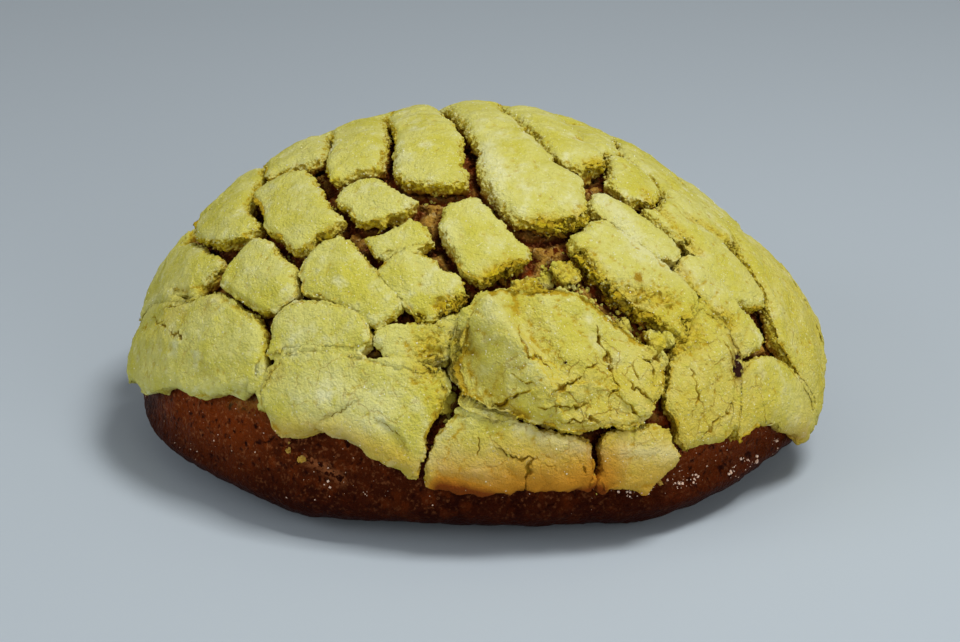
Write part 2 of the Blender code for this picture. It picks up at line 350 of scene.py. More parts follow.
def start_group(name, **inputs):
    """A node group for a mask of a pattern: the group, its inputs, the place on the piece and the
    pattern's scale at the Size that is given."""
    group = bpy.data.node_groups.new(name, "ShaderNodeTree")
    for label, start in inputs.items():
        socket = group.interface.new_socket(label, in_out="INPUT", socket_type="NodeSocketFloat")
        socket.default_value = start
    group.interface.new_socket("Mask", in_out="OUTPUT", socket_type="NodeSocketFloat")
    given = group.nodes.new("NodeGroupInput").outputs
    place = add_node(group, "ShaderNodeTexCoord").outputs["Object"]
    return group, given, place, compute(group, "DIVIDE", 1.0, given["Size"])


def end_group(group, mask):
    group.links.new(mask, group.nodes.new("NodeGroupOutput").inputs["Mask"])


speckles, given, place, scale = start_group("speckles", Size=0.004, Low=0.4, High=0.6, Seed=0.0)
clouds = add_node(
    speckles, "ShaderNodeTexNoise",
    {"Vector": place, "Scale": scale, "W": given["Seed"], "Detail": 3.0, "Roughness": 0.55},
    noise_dimensions="4D",
).outputs["Fac"]
mask = add_node(
    speckles, "ShaderNodeMapRange",
    {"Value": clouds, "From Min": given["Low"], "From Max": given["High"]},
    interpolation_type="SMOOTHSTEP",
).outputs["Result"]
end_group(speckles, mask)


def speckle(tree, size, low, high, seed=0.0):
    """A mask of soft speckles: their size in millimetres and the noise values that give 0 and 1."""
    return add_node(
        tree, "ShaderNodeGroup", {"Size": size * MM, "Low": low, "High": high, "Seed": seed},
        node_tree=speckles,
    ).outputs["Mask"]


def layered(tree, colour, *layers):
    """Lays colours over a first one. A layer is its mask and its colour, and the mask is a socket,
    an attribute's name or a speckle's values."""
    for mask, over in layers:
        if isinstance(mask, str):
            mask = attribute(tree, mask)
        elif isinstance(mask, tuple):
            mask = speckle(tree, *mask)
        mix = add_node(tree, "ShaderNodeMix", {0: mask, 6: colour, 7: over}, data_type="RGBA")
        colour = mix.outputs[2]
    return colour


def roughen(tree, shader, height, strength, depth):
    """Fine bumps from a height mask, depth in millimetres."""
    bump = add_node(
        tree, "ShaderNodeBump", {"Height": height, "Strength": strength, "Distance": depth * MM}
    )
    tree.links.new(bump.outputs["Normal"], shader.inputs["Normal"])


CRUST_DARK = (0.022, 0.0026, 0.0005, 1)
CRUST_RED = (0.100, 0.0165, 0.0020, 1)
CRUST_RUDDY = (0.220, 0.0380, 0.0040, 1)
CRUST_FLAKE = (0.360, 0.1200, 0.0400, 1)
CRUST_BROWN = (0.260, 0.1080, 0.0160, 1)
CRUST_GOLD = (0.480, 0.2700, 0.0450, 1)
CRUST_PALE = (0.560, 0.3900, 0.1400, 1)

crust, tree, shader = new_material("bun_crust", 0.45, 0.03)
side = layered(
    tree, CRUST_DARK, ((10.0, 0.36, 0.60), CRUST_RED), ("ruddy", CRUST_RUDDY),
    ((3.0, 0.48, 0.68, 2.0), CRUST_RUDDY), ((0.7, 0.52, 0.70, 4.0), CRUST_FLAKE),
    # The low layer is partly the crust's own darker colour and partly painted shade.
    ("low", CRUST_DARK), ((1.6, 0.53, 0.68, 13.0), CRUST_DARK),
)
flakes = layered(tree, CRUST_DARK, ((1.0, 0.42, 0.54, 11.0), CRUST_FLAKE))
torn = layered(
    tree, CRUST_BROWN, ((3.0, 0.30, 0.60, 5.0), CRUST_GOLD), ((1.0, 0.54, 0.66, 7.0), CRUST_PALE),
    ((1.3, 0.54, 0.64, 6.0), CRUST_RED), ((2.6, 0.60, 0.72, 8.0), CRUST_DARK),
)
colour = layered(tree, side, ("scar", flakes), ("bare", torn))
tree.links.new(colour, shader.inputs["Base Color"])
roughen(tree, shader, speckle(tree, 0.8, 0.3, 0.7, 3.0), 0.9, 0.5)
bun.data.materials.append(crust)
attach(bun, "root")
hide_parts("bun")

# ----------------------------------------------------------------------
# The sugar paste: flour, fat and sugar rolled to a disc 3 to 5 mm thick and laid over the dough.
# It set while the dough went on rising, so it broke into plates with crumbly walls.
# ----------------------------------------------------------------------
PASTE_VOXEL = 0.42
CAD_WALL = 0.7
SEAM_REACH = 1.25
NEAR_SEAM, NEAR_LOCAL_SEAM = (0.9, 2.4), (2.0, 3.6)
BLUNT_WALL, BLUNT_PILLOW = 0.88, 1.1
RIM_WALL, RIM_PILLOW = 0.6, 3.2
CRACK_BAND, ROUGH_SPLIT, ROUGH_DEPTH = 1.3, 0.4, 2.6
WALL_FACING, FINER_FACING = 0.6, (-0.3, 0.6)
FINE_CREVICE_SHADE, WIDE_CREVICE_SHADE = (0.015, 0.09), (0.05, 0.30)
FOOT_SHADE_LIFT, FOOT_SHADE_FACING = (0.8, 2.8), (0.4, 0.75)
CRACK_SEED = 5
noise.seed_set(CRACK_SEED)  # Without it the cracks would fray differently in each run.
scallops = relief("paste_scallops", 5.5, cloud_type="COLOR", noise_depth=1)
jag = relief("paste_jag", 2.6, cloud_type="COLOR", noise_depth=3)
crumble = relief("paste_crumble", 1.2, noise_depth=2)
grit = relief("paste_grit", 0.55, noise_depth=1)
lumps = relief("paste_lumps", 8.0, noise_depth=1)
dimples = relief("paste_dimples", 2.6, noise_depth=2)
wrinkles = relief("paste_wrinkles", 4.5, noise_type="HARD_NOISE", noise_depth=3)

# Plates that still hold together: for one of the two the other, how firmly, and if only in part
# the place and radius.
JOINED = {
    "skirt_left": (("side_left", 1.0), ("skirt_front_left", 1.0, -45, -63, 10)),
    "skirt_front_left": (("slope_lower", 1.0), ("saddle", 1.0)),
    "saddle": (
        ("chip_3", 1.0), ("slope_lower", 0.7, -22, -60, 6), ("front_boulder", 0.8, -8, -62, 8),
    ),
    "middle_left": (("small_middle", 0.8), ("slope_middle", 0.55), ("middle_right", 0.35)),
    "slope_left": (("slope_middle", 0.55), ("slope_lower", 0.5), ("skirt_left", 0.4)),
    "slope_middle": (("slope_lower", 0.45),),
    "front_boulder": (
        ("chip_3", 0.9), ("chip_1", 0.9), ("skirt_front_left", 0.9, -8, -66, 8),
        ("skirt_front", 1.0, -3, -79, 13),
    ),
    "skirt_front": (("skirt_front_left", 0.9, -4, -90, 7), ("skirt_block", 0.8, 27, -88, 4)),
    "front_right": (
        ("skirt_block", 0.8, 50, -80, 6), ("skirt_right", 1.0), ("ledge_right", 0.8),
        ("slope_right", 0.8, 44, -46, 9),
    ),
    "ledge_right": (
        ("slope_right", 0.45, 40, -34, 12), ("strip_right", 0.5), ("shoulder_2", 0.5, 48, -30, 10),
    ),
    "strip_right": (("slope_right", 0.35),),
    "shoulder_3": (("shoulder_2", 0.6), ("flank_right", 0.45)),
    "flank_right": (("skirt_right", 1.0, 84, -36, 10), ("end_right", 1.0)),
    "crown_4": (("crown_5", 0.4),),
}
JOINTS = [(one, *joint) for one, joints in JOINED.items() for joint in joints]
surfaces = {}


def held(node, points):
    """How firmly each point of a plate holds on to the plates beside it."""
    firm = np.zeros(len(points))
    for one, other, share, *where in JOINTS:
        if node in (one, other):
            beside = other if node == one else one
            if beside not in surfaces:
                surfaces[beside] = surface_of([beside])
            reach = NEAR_LOCAL_SEAM if where else NEAR_SEAM
            hold = share * (1 - ramp(gap_to(surfaces[beside], points), *reach))
            if where:
                away = np.linalg.norm(laid_flat(points) - where[:2], axis=1)
                hold *= 1 - ramp(away, 0.7 * where[2], where[2])
            firm = np.maximum(firm, hold)
    return firm


def dragged(points, marks):
    """Points moved over the dome, as the paste crept: how far to the right and how far uphill in
    millimetres, over what radius and around what line."""
    flat, ways = laid_flat(points), outward(points)
    right = np.array((1, 0, 0)) - ways * ways[:, :1]
    uphill = np.array((0, 0, 1)) - ways * ways[:, 2:]
    moves = np.zeros_like(points)
    for aside, up, radius, *line in marks:
        moves += (aside * right + up * uphill) * hill(line_gap(flat, line)[0], radius)[:, None]
    return points + moves * MM


def fold_paste(piece, line, height, left, right):
    """Raises or sinks the paste along a line, over a width on its left and another on its right."""
    points = read_points(piece)
    gap, sides, _ = line_gap(laid_flat(points), line)
    rise = height * hill(gap, np.where(sides > 0, left, right))
    rise = rise * ramp(facing_out(piece), 0.0, 0.5)
    move_points(piece, points + outward(points) * rise[:, None] * MM)


def open_crack(piece, line, width, depth, flake=0.0):
    """Opens a ragged crack along a line, and lifts the paste on its left like a flake's edge."""
    points = read_points(piece)
    flat = laid_flat(points)
    close = np.flatnonzero(line_gap(flat, line)[0] < 5)
    if not len(close):
        return
    flat = flat[close]
    stray = np.array([
        1.0 * noise.noise_vector(Vector((u, v, 0)) / 2.6).xy
        + 0.5 * noise.noise_vector(Vector((u, v, 9)) / 0.9).xy
        for u, v in flat.tolist()
    ])
    gap, sides, runs = line_gap(flat + stray, line)
    length = runs.max()
    opening = np.array([noise.noise(Vector((run / 1.4, length, width))) for run in runs.tolist()])
    ends = ramp(runs, 0, 2.5) * ramp(length - runs, 0, 2.5)
    half = width / 2 * np.clip(1 + 2.6 * opening, 0.2, 2.2) * (0.35 + 0.65 * ends)
    sink = depth * np.clip(1.15 - gap / half, 0, 1) * (0.3 + 0.7 * ends)
    lift = flake * hill(gap, 2.2) * (sides > 0) * ends
    facing = ramp(facing_out(piece)[close], -0.1, 0.3)
    points[close] += outward(points[close]) * ((lift - sink) * facing)[:, None] * MM
    move_points(piece, points)
    # Painted shade down in the crack, darker where it sinks deeper.
    deep = read_mask(piece, "deep")
    deep[close] = np.maximum(deep[close], np.clip(sink / depth, 0, 1) * facing)
    keep_mask(piece, "deep", deep)


def crumble_away(piece, marks):
    """Breaks the paste's top into lumps and holes where it is marked."""
    middles = read_all(piece.data.polygons, "center")
    split_faces(piece, marked(laid_flat(middles), marks) > ROUGH_SPLIT, 1)
    points = read_points(piece)
    broken = np.minimum(1, marked(laid_flat(points), marks) * ramp(facing_out(piece), -0.2, 0.3))
    weigh(piece, "broken", broken)
    press(piece, crumble, ROUGH_DEPTH, "broken", 0.72)
    press(piece, jag, 0.8 * ROUGH_DEPTH, "broken")
    # Painted shade, in amber, over the broken patch.
    keep_mask(piece, "deep", np.maximum(read_mask(piece, "deep"), 0.12 * broken))


def hollows(piece, reach, low, high):
    """How far each point lies in a hollow: 0 where it lies low millimetres under its surroundings
    and 1 at high. Reach is how many rings of neighbours count as its surroundings."""
    mesh, points = piece.data, read_points(piece)
    pairs = np.empty(2 * len(mesh.edges), np.int32)
    mesh.edges.foreach_get("vertices", pairs)
    one, other = pairs.reshape(-1, 2).T
    ends, far_ends = np.append(one, other), np.append(other, one)
    count = np.maximum(np.bincount(ends, minlength=len(points)), 1)
    around = points
    for _ in range(reach):
        around = np.stack([
            np.bincount(ends, axis[far_ends], len(points)) / count for axis in around.T
        ], 1)
    return ramp(((around - points) * read_normals(piece)).sum(1) / MM, low, high)


PASTE_CREAM = (0.66, 0.635, 0.180, 1)
PASTE_YELLOW = (0.60, 0.558, 0.078, 1)
PASTE_WHITE = (0.75, 0.745, 0.390, 1)
PASTE_GOLD = (0.62, 0.475, 0.055, 1)
PASTE_TORN = (0.65, 0.505, 0.016, 1)
# Painted shade for the paste's hollows and crevices.
PASTE_CREVICE_SHADE = (0.48, 0.335, 0.018, 1)
# Painted shade for the foot of the open walls, tinted red-brown as painted light thrown back from
# the crust.
PASTE_FOOT_SHADE = (0.30, 0.130, 0.010, 1)
PASTE_AMBER = (0.38, 0.235, 0.016, 1)
PASTE_TOAST = (0.54, 0.235, 0.018, 1)
PASTE_BROWN = (0.20, 0.045, 0.004, 1)
PASTE_BURNT = (0.035, 0.010, 0.006, 1)

CRAZE_SIZE, CRAZE_WIDTH = 4.2 * MM, 0.05
WARP_SIZE, WARP_REACH = 1.6 * MM, 2.0 * MM
crazing, given, place, scale = start_group("crazing", Size=CRAZE_SIZE, Width=CRAZE_WIDTH)
stray = add_node(
    crazing, "ShaderNodeTexNoise", {"Vector": place, "Scale": 1 / WARP_SIZE, "Detail": 3.0}
).outputs["Color"]
place = add_node(
    crazing, "ShaderNodeVectorMath", {0: stray, 1: (WARP_REACH,) * 3, 2: place},
    operation="MULTIPLY_ADD",
).outputs[0]
edge = add_node(
    crazing, "ShaderNodeTexVoronoi", {"Vector": place, "Scale": scale}, feature="DISTANCE_TO_EDGE"
).outputs["Distance"]
mask = add_node(
    crazing, "ShaderNodeMapRange",
    {"Value": edge, "From Max": given["Width"], "To Min": 1.0, "To Max": 0.0},
).outputs["Result"]
end_group(crazing, mask)


def product(tree, one, other):
    """Two masks multiplied, kept from 0 to 1."""
    return compute(tree, "MULTIPLY", one, other, use_clamp=True)


TOAST_TURN = 0.6
paste, tree, shader = new_material("sugar_paste", 0.85, 0.08)
torn = layered(tree, PASTE_TORN, ((1.1, 0.56, 0.70, 9.0), PASTE_AMBER))
crazes = add_node(
    tree, "ShaderNodeGroup", {"Size": CRAZE_SIZE, "Width": CRAZE_WIDTH}, node_tree=crazing
).outputs["Mask"]
crazes = product(tree, crazes, speckle(tree, 3.5, 0.46, 0.58, 15.0))
crazes = product(tree, crazes, attribute(tree, "crazed"))
# The hem's toast: orange up to TOAST_TURN, then dark brown at the lip. The browning is real; the
# lip's dark brown is also painted shade, where the lip faces down.
toasted = attribute(tree, "toasted")
toasts = [
    add_node(tree, "ShaderNodeMapRange", {"Value": toasted, end: TOAST_TURN}).outputs[0]
    for end in ("From Max", "From Min")
]
ragged = speckle(tree, 1.3, 0.38, 0.56, 21.0)
amber, burnt = (product(tree, attribute(tree, name), ragged) for name in ("amber", "burnt"))
colour = layered(
    tree, PASTE_CREAM, ((9.0, 0.38, 0.66), PASTE_YELLOW), ((4.0, 0.50, 0.78, 4.0), PASTE_WHITE),
    ("golden", PASTE_GOLD), ("frosted", PASTE_WHITE), ((1.5, 0.48, 0.80, 6.0), PASTE_YELLOW),
    # The hollow layer is painted shade in the paste's crevices.
    ((0.5, 0.58, 0.70, 8.0), PASTE_WHITE), ("torn", torn), ("hollow", PASTE_CREVICE_SHADE),
    # The foot layer is painted shade at the walls' feet, browned as by light thrown back from the
    # crust.
    ("foot", PASTE_FOOT_SHADE), (crazes, PASTE_AMBER), (toasts[0], PASTE_TOAST), (toasts[1], PASTE_BROWN),
    # The deep layer is painted shade in cracks and broken patches; amber and burnt are stains.
    (amber, PASTE_AMBER), ("deep", PASTE_AMBER), (burnt, PASTE_BURNT),
)
tree.links.new(colour, shader.inputs["Base Color"])
fine, coarse = speckle(tree, 0.45, 0.25, 0.75, 3.0), speckle(tree, 1.7, 0.30, 0.70, 12.0)
grain = compute(tree, "SUBTRACT", compute(tree, "ADD", fine, coarse), crazes)
roughen(tree, shader, grain, 0.7, 0.35)

# Where the oven browned the paste and where sugar lies thick: strength, radius and a line.
MASKS = {
    "golden": (
        (0.7, 20, (26, -88), (60, -64)), (0.4, 22, (80, -30), (84, 0)), (0.2, 12, (10, -66)),
        (0.35, 6, (-66, -28)), (0.6, 10, (8, -88)),
    ),
    # The toast marks: the hem's real browning, whose darkest brown at the lip is also painted
    # shade.
    "toasted": (
        (1.25, 3.6, (-8, -90.5), (0, -92), (8, -93), (16, -92), (23, -90.5), (28, -87.5)),
        (0.62, 7.5, (-6, -91), (2, -92), (10, -90), (20, -89), (28, -85)),
        (0.75, 3.2, (29, -88), (36, -87.5), (41, -85.5), (46, -82)),
        (0.40, 9.0, (32, -88), (45, -84)), (0.32, 4.5, (52, -80), (70, -64), (84, -46)),
        (0.25, 3.0, (-60, -66), (-30, -77), (-10, -88)),
    ),
    "frosted": (
        (0.8, 2.2, (0.6, -14.4), (4.4, -24.8), (2.4, -31.1)), (0.6, 2.0, (-14.5, -15.7)),
        (0.7, 2.0, (-7, -41.3)), (0.7, 2.5, (21.6, -20.2), (31.8, -36.9), (40.5, -37.5)),
        (0.2, 1.8, (3.2, -58), (7.6, -64.1), (13.6, -71.1)), (0.4, 5, (-30, -68), (-20, -74)),
        (0.3, 4, (2, -87)), (0.6, 1.6, (10, -78.5), (18, -80), (26, -80.5)),
        (0.6, 1.6, (31, -78.5), (38, -76.5), (44, -74.5)),
    ),
    "amber": (
        (2.4, 0.9, (31.1, -44.7)), (0.3, 3, (-55.3, -36.2)), (0.3, 3, (-41.9, -60.3)),
        (0.6, 1.5, (2.5, -52.5)), (0.5, 1.5, (-7.1, -57.5)),
        (1.0, 2.2, (55.3, -50.0), (55.5, -52.8)), (1.2, 0.8, (73, -59)),
    ),
    "burnt": (
        (3.0, 1.0, (55.3, -50.0), (55.5, -52.6)), (0.4, 2.0, (54.8, -49.5)),
        (2.4, 0.3, (16.5, -66.2)),
    ),
    "crazed": (
        (1.0, 11, (14, -71), (33, -67)), (0.7, 9, (3, -85), (24, -84)),
        (0.9, 10, (47, -62), (55, -52)), (0.5, 13, (-72, -30), (-64, -40)),
        (0.5, 12, (-40, -62), (-20, -74)), (0.6, 7, (36, -84)), (0.3, 26, (86, -14)),
        (0.15, 300, (0, 0)),
    ),
}
baked = []


def nearest_wall(node, points):
    """Each point's distance in millimetres from the nearest broken wall of a plate in the CAD, and
    how squarely that wall faces downhill, from 0 to 1."""
    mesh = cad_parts[node].data
    _, ways, facing = faces_of(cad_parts[node])
    upright = np.flatnonzero(np.abs(facing) < WALL_FACING)
    faces = [tuple(mesh.polygons[i].vertices) for i in upright.tolist()]
    walls = BVHTree.FromPolygons([vertex.co for vertex in mesh.vertices], faces)
    found = [walls.find_nearest(point) for point in points.tolist()]
    wall_ways = ways[upright][[hit[2] for hit in found]]
    rise = outward(points)
    down = rise * rise[:, 2:] - np.array((0, 0, 1))
    down /= np.linalg.norm(down, axis=1)[:, None] + 0.05
    return np.array([hit[3] for hit in found]) / MM, ramp((wall_ways * down).sum(1), 0.45, 0.85)


def bake_plate(
    node, wall=0.85, pillow=1.5, shrunk=1.0, lump=1.0, creased=0.35, hem=False, drags=(), folds=(),
    cracks=(), rough=(),
):
    """A plate of paste. As shares, wall is the height of its broken wall and shrunk its size after
    it drew in towards its middle. In millimetres, pillow is the width over which its top rounds off
    towards the wall, lump how uneven its top is and creased how deep its wrinkles are. A plate with
    a hem has the disc's own soft, wavy rim as its lower edge. Drags are marks for dragged, rough
    marks for crumble_away, and folds and cracks hold what fold_paste and open_crack are given."""
    piece = copy_of(node, "paste_" + node)
    finish_with(piece, "REMESH", mode="VOXEL", voxel_size=PASTE_VOXEL * MM)
    finish_with(piece, "SMOOTH", factor=0.5, iterations=3)
    points = read_points(piece)
    firm = held(node, points)
    lift = gap_to(bun_surface, points)
    full, share, ways = lift.max(), lift / lift.max(), outward(points)
    inset, downhill = nearest_wall(node, points - ways * ((lift - 0.4 * full) * MM)[:, None])
    rim = downhill * (1 - firm) * hem
    blunt = downhill * (1 - firm) * (not hem)
    top = wall + (max(wall, BLUNT_WALL) - wall) * blunt + (RIM_WALL - wall) * rim
    top += (1 - top) * firm
    rounding = pillow + (min(pillow, BLUNT_PILLOW) - pillow) * blunt + (RIM_PILLOW - pillow) * rim
    dome = np.sqrt(1 - (1 - np.clip(inset / rounding, 0, 1)) ** 2)
    raised = np.where(share < CAD_WALL, share * top / CAD_WALL, top + (share - top) * dome)
    points += ways * ((raised - share) * full * MM)[:, None]
    foot = points[share < 0.3].mean(0)
    points = foot + (points - foot) * (shrunk + (1 - shrunk) * firm)[:, None]
    move_points(piece, dragged(points, drags))
    finish_with(piece, "SMOOTH", factor=0.5, iterations=2)
    points, normals = read_points(piece), read_normals(piece)
    ways = outward(points)
    level = normals - (normals * ways).sum(1)[:, None] * ways
    size = np.linalg.norm(level, axis=1)[:, None]
    points += SEAM_REACH * MM * firm[:, None] * ramp(size, 0.1, 0.5) * level / (size + 0.01)
    move_points(piece, points)
    weigh(piece, "seam", firm)
    finish_with(piece, "SMOOTH", factor=0.5, iterations=4, vertex_group="seam")
    edges = (1 - ramp(facing_out(piece), 0.50, 0.92)) * (1 - 0.85 * firm)
    weigh(piece, "edges", edges * (1 - 0.6 * rim))
    weigh(piece, "ends", edges * blunt)
    weigh(piece, "scalloped", edges * rim)
    press(piece, jag, 1.6, "edges")
    press(piece, crumble, 0.9, "edges")
    press(piece, crumble, 1.0, "ends", 0.6)
    press(piece, scallops, 3.2, "scalloped")
    press(piece, lumps, lump)
    press(piece, dimples, 0.4)
    press(piece, wrinkles, creased)
    keep_mask(piece, "firm", firm)
    keep_mask(piece, "blunt", blunt)
    keep_mask(piece, "rim", rim)
    keep_mask(piece, "deep", np.zeros(len(firm)))
    if not node.startswith("back_"):
        facing = faces_of(piece)[2]
        split_faces(piece, (facing > FINER_FACING[0]) & (facing < FINER_FACING[1]), 1)
    smooth = np.maximum(0.8 * read_mask(piece, "firm"), 0.6 * read_mask(piece, "rim"))
    weigh(piece, "gritty", (1 - ramp(facing_out(piece), 0.55, 0.85)) * (1 - smooth))
    press(piece, grit, 0.75, "gritty")
    for fold in folds:
        fold_paste(piece, *fold)
    if rough:
        ragged = marked(laid_flat(read_points(piece)), rough)
        ragged = np.minimum(1, ragged * (1 - ramp(facing_out(piece), 0.5, 0.9)))
        weigh(piece, "ragged", ragged)
        press(piece, jag, 1.8, "ragged")
        press(piece, crumble, 1.2, "ragged")
        crumble_away(piece, rough)
    if cracks:
        middles, _, facing = faces_of(piece)
        gaps = [line_gap(laid_flat(middles), line)[0] - width for line, width, *_ in cracks]
        split_faces(piece, (np.min(gaps, 0) < CRACK_BAND) & (facing > 0.2), 2)
    for crack in cracks:
        open_crack(piece, *crack)
    flat, facing = laid_flat(read_points(piece)), facing_out(piece)
    firm, blunt, rim = (read_mask(piece, name) for name in ("firm", "blunt", "rim"))
    open_wall = 1 - ramp(facing, 0.25 + 0.15 * blunt, 0.75 + 0.18 * blunt)
    torn = open_wall * (1 - firm) * (0.75 + 0.25 * blunt) * (1 - 0.9 * rim)
    keep_mask(piece, "torn", np.maximum(torn, 0.8 * marked(flat, rough)))
    # Painted shade: the paste turns a deep yellow-brown in its hollows and crevices.
    hollow = np.maximum(hollows(piece, 3, *FINE_CREVICE_SHADE), hollows(piece, 12, *WIDE_CREVICE_SHADE))
    keep_mask(piece, "hollow", hollow * (1 - 0.7 * firm))
    # Painted shade at the foot of the open walls, just above the bun, browned as by light thrown
    # back from the crust.
    foot, upright = np.zeros(len(flat)), np.flatnonzero(facing < FOOT_SHADE_FACING[1])
    foot[upright] = 1 - ramp(gap_to(bun_surface, read_points(piece)[upright]), *FOOT_SHADE_LIFT)
    foot *= (1 - ramp(facing, *FOOT_SHADE_FACING)) * (1 - 0.6 * rim)
    keep_mask(piece, "foot", foot * (1 - 0.8 * firm))
    for name, marks in MASKS.items():
        keep_mask(piece, name, marked(flat, marks))
    piece.data.shade_smooth()
    piece.data.materials.append(paste)
    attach(piece, "root")
    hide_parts(node)
    baked.append(piece)


# ----------------------------------------------------------------------
# The crown: long strips that the baker scored, pillowed where they rose and torn across at their
# lower ends, where the paste pulled apart.
# ----------------------------------------------------------------------
TORN_ENDS = (
    (1.1, 1.6, (-24.0, -21.2), (-20.0, -22.2)), (1.1, 1.7, (-9.5, -28.6), (-5.0, -29.0)),
    (1.1, 2.2, (13.0, -36.8), (18.0, -36.6), (22.0, -31.5)), (0.9, 1.4, (-30.9, -14.0)),
    (1.0, 1.4, (21.6, -14.6), (23.7, -11.4)),
)
# Where the strips' lower ends crept aside, and where their torn ends are hollow.
CREPT_ENDS = (
    (2.8, 0.0, 8.0, (14, -30), (17, -34)), (0.0, 1.3, 1.8, (16, -37.5)), (0.0, 1.2, 1.6, (-6, -30)),
    (0.0, 1.0, 1.4, (-22, -23)), (0.0, 1.0, 1.4, (24, -14.5)),
)
for node in ("crown_1", "crown_2", "crown_3", "crown_long", "crown_4", "crown_5", "top_left"):
    bake_plate(
        node, wall=0.5, pillow=4.2, shrunk=0.95, creased=0.25, rough=TORN_ENDS,
        drags=CREPT_ENDS if node == "crown_long" else CREPT_ENDS[1:],
    )

# ----------------------------------------------------------------------
# The left side: two big plates that still join along a crease, and squares above them.
# ----------------------------------------------------------------------
for node in ("side_left", "long_left", "square_left"):
    bake_plate(
        node, wall=0.55, pillow=3.8, shrunk=0.97, creased=0.25,
        rough=((1.5, 1.5, (-30.5, -35.3), (-26.8, -34.3)),),
    )
bake_plate(
    "skirt_left", wall=0.75, pillow=2.5, hem=True,
    folds=((((-53, -33), (-57, -31), (-62, -28), (-69, -24), (-76, -18)), -0.5, 2.0, 0.8),),
    cracks=(
        (((-74, -19), (-70, -26), (-66, -34), (-62, -40)), 0.35, 0.8),
        (((-58.3, -41.7), (-60.3, -42.5)), 0.3, 0.5),
        (((-53.4, -33.4), (-57.1, -30.9), (-62.5, -27.8), (-68.4, -23.8)), 0.35, 0.8),
    ),
)
for node in ("small_left", "small_middle", "middle_right"):
    bake_plate(
        node, wall=0.72, pillow=2.0, shrunk=0.97,
        rough=((1.7, 2.0, (3.0, -51.0), (7.0, -48.5)), (1.2, 1.2, (-20.0, -37.0), (-15.6, -35.1))),
    )
for node in ("slope_left", "slope_middle", "middle_left"):
    bake_plate(
        node, wall=0.75, pillow=2.0,
        rough=((1.4, 1.5, (-7.0, -56.5), (-2.5, -56.0)), (1.0, 1.2, (-11.1, -58.1))),
    )
bake_plate("slope_lower", wall=0.9, drags=((1.2, 0.0, 3.0, (-24, -60)),))
bake_plate(
    "saddle", wall=0.9, drags=((-1.8, 0.0, 3.0, (-18, -60)),),
    rough=((0.9, 4.0, (-9.5, -65)), (0.8, 2.5, (-4, -63))),
)
LEVEL_TEAR = ((-25.6, -71.8), (-28.1, -72.5), (-30.6, -72.8), (-32.4, -72.8))
SLANTING_TEAR = ((-20.2, -76.5), (-17.9, -78.7), (-16.0, -80.9))
bake_plate(
    "skirt_front_left", wall=0.9, hem=True,
    folds=((LEVEL_TEAR, -0.5, 1.2, 0.5), (SLANTING_TEAR, -0.7, 0.5, 1.6)),
    cracks=(
        (((-42.6, -55.8), (-38.5, -57.6), (-34.4, -59.2), (-30.4, -60.8)), 0.4, 0.8),
        (LEVEL_TEAR, 0.3, 0.5), (SLANTING_TEAR, 0.3, 0.5),
    ),
    rough=((0.9, 3.5, (-10.4, -67.4), (-4, -66)), (0.5, 2.5, (-8, -74), (-6, -80))),
)

# ----------------------------------------------------------------------
# The boulder: the thickest plate, pushed up and forward as the bun burst, with a ridge down its
# left part and fine cracks all over. Its lower edge overhangs the hem plates.
# ----------------------------------------------------------------------
bake_plate(
    "front_boulder", wall=0.88, lump=1.6, creased=0.9,
    drags=(
        (-1.2, -1.6, 4.0, (23, -53), (30, -55), (36, -58)), (0.0, 1.0, 4.0, (28, -77), (36, -75)),
    ),
    folds=(
        (((3.2, -57), (5.1, -61), (7.6, -64.1), (10.5, -67.8), (13.6, -71.1)), 2.2, 1.6, 4.0),
        (((7.5, -57), (9.5, -61), (13, -65)), -1.7, 3.0, 1.6),
        (((-3, -64), (-1, -71), (4, -76)), -2.8, 4.0, 6.0),
        (((24.2, -60.7), (26.5, -64.2), (26.6, -70.1)), -0.8, 1.0, 2.5),
        (((16.8, -71.0), (20.5, -69.6), (24.5, -69.0)), 0.8, 1.0, 2.0),
        (((28, -68.5), (32, -69.5), (35, -70.5)), 0.8, 1.0, 1.8),
    ),
    cracks=(
        (((13.0, -72.0), (14.6, -70.9), (17.3, -69.4), (20.6, -68.1)), 0.5, 1.0, 0.7),
        (
            ((22, -58), (24.0, -60.7), (25.6, -62.1), (26.5, -64.2), (27.1, -67.1), (26.6, -71)),
            0.7, 1.3,
        ),
        (((29.5, -66.3), (32.3, -67.5), (36.4, -68.4)), 0.4, 0.9, 0.5),
        (((3.2, -76.3), (5.8, -74.8), (7.7, -73.0), (10, -72)), 0.7, 1.2, 0.8),
        (((7.6, -60.5), (8.4, -64.0), (11.0, -66.3), (14.0, -67.6)), 0.5, 0.9),
        (((12, -74.2), (17.0, -73.4), (22.0, -72.6)), 0.4, 0.9, 0.6),
        (((27.5, -69.5), (31, -70.6), (34, -72)), 0.4, 0.8, 0.5),
        (((20.5, -67.8), (21.2, -66.0), (24.2, -64.6)), 0.35, 0.7, 0.3),
        (((31.9, -61.1), (34.0, -60.8), (37.4, -58.9)), 0.6, 1.2, 0.5),
        (((34.0, -60.9), (34.7, -63.1), (35.9, -65.3)), 0.5, 1.0, 0.4),
        (((29.5, -63.5), (31.5, -65.0), (33.0, -66.8)), 0.35, 0.7, 0.4),
        (((16, -76.5), (20, -75.8), (25, -74.5)), 0.35, 0.8, 0.4),
        (((6, -69), (8.5, -70.8), (12, -71.6)), 0.35, 0.7, 0.4),
    ),
    rough=((0.35, 3.0, (13, -71), (20, -68.5), (26, -66)), (0.4, 2.5, (35, -60), (36, -68))),
)
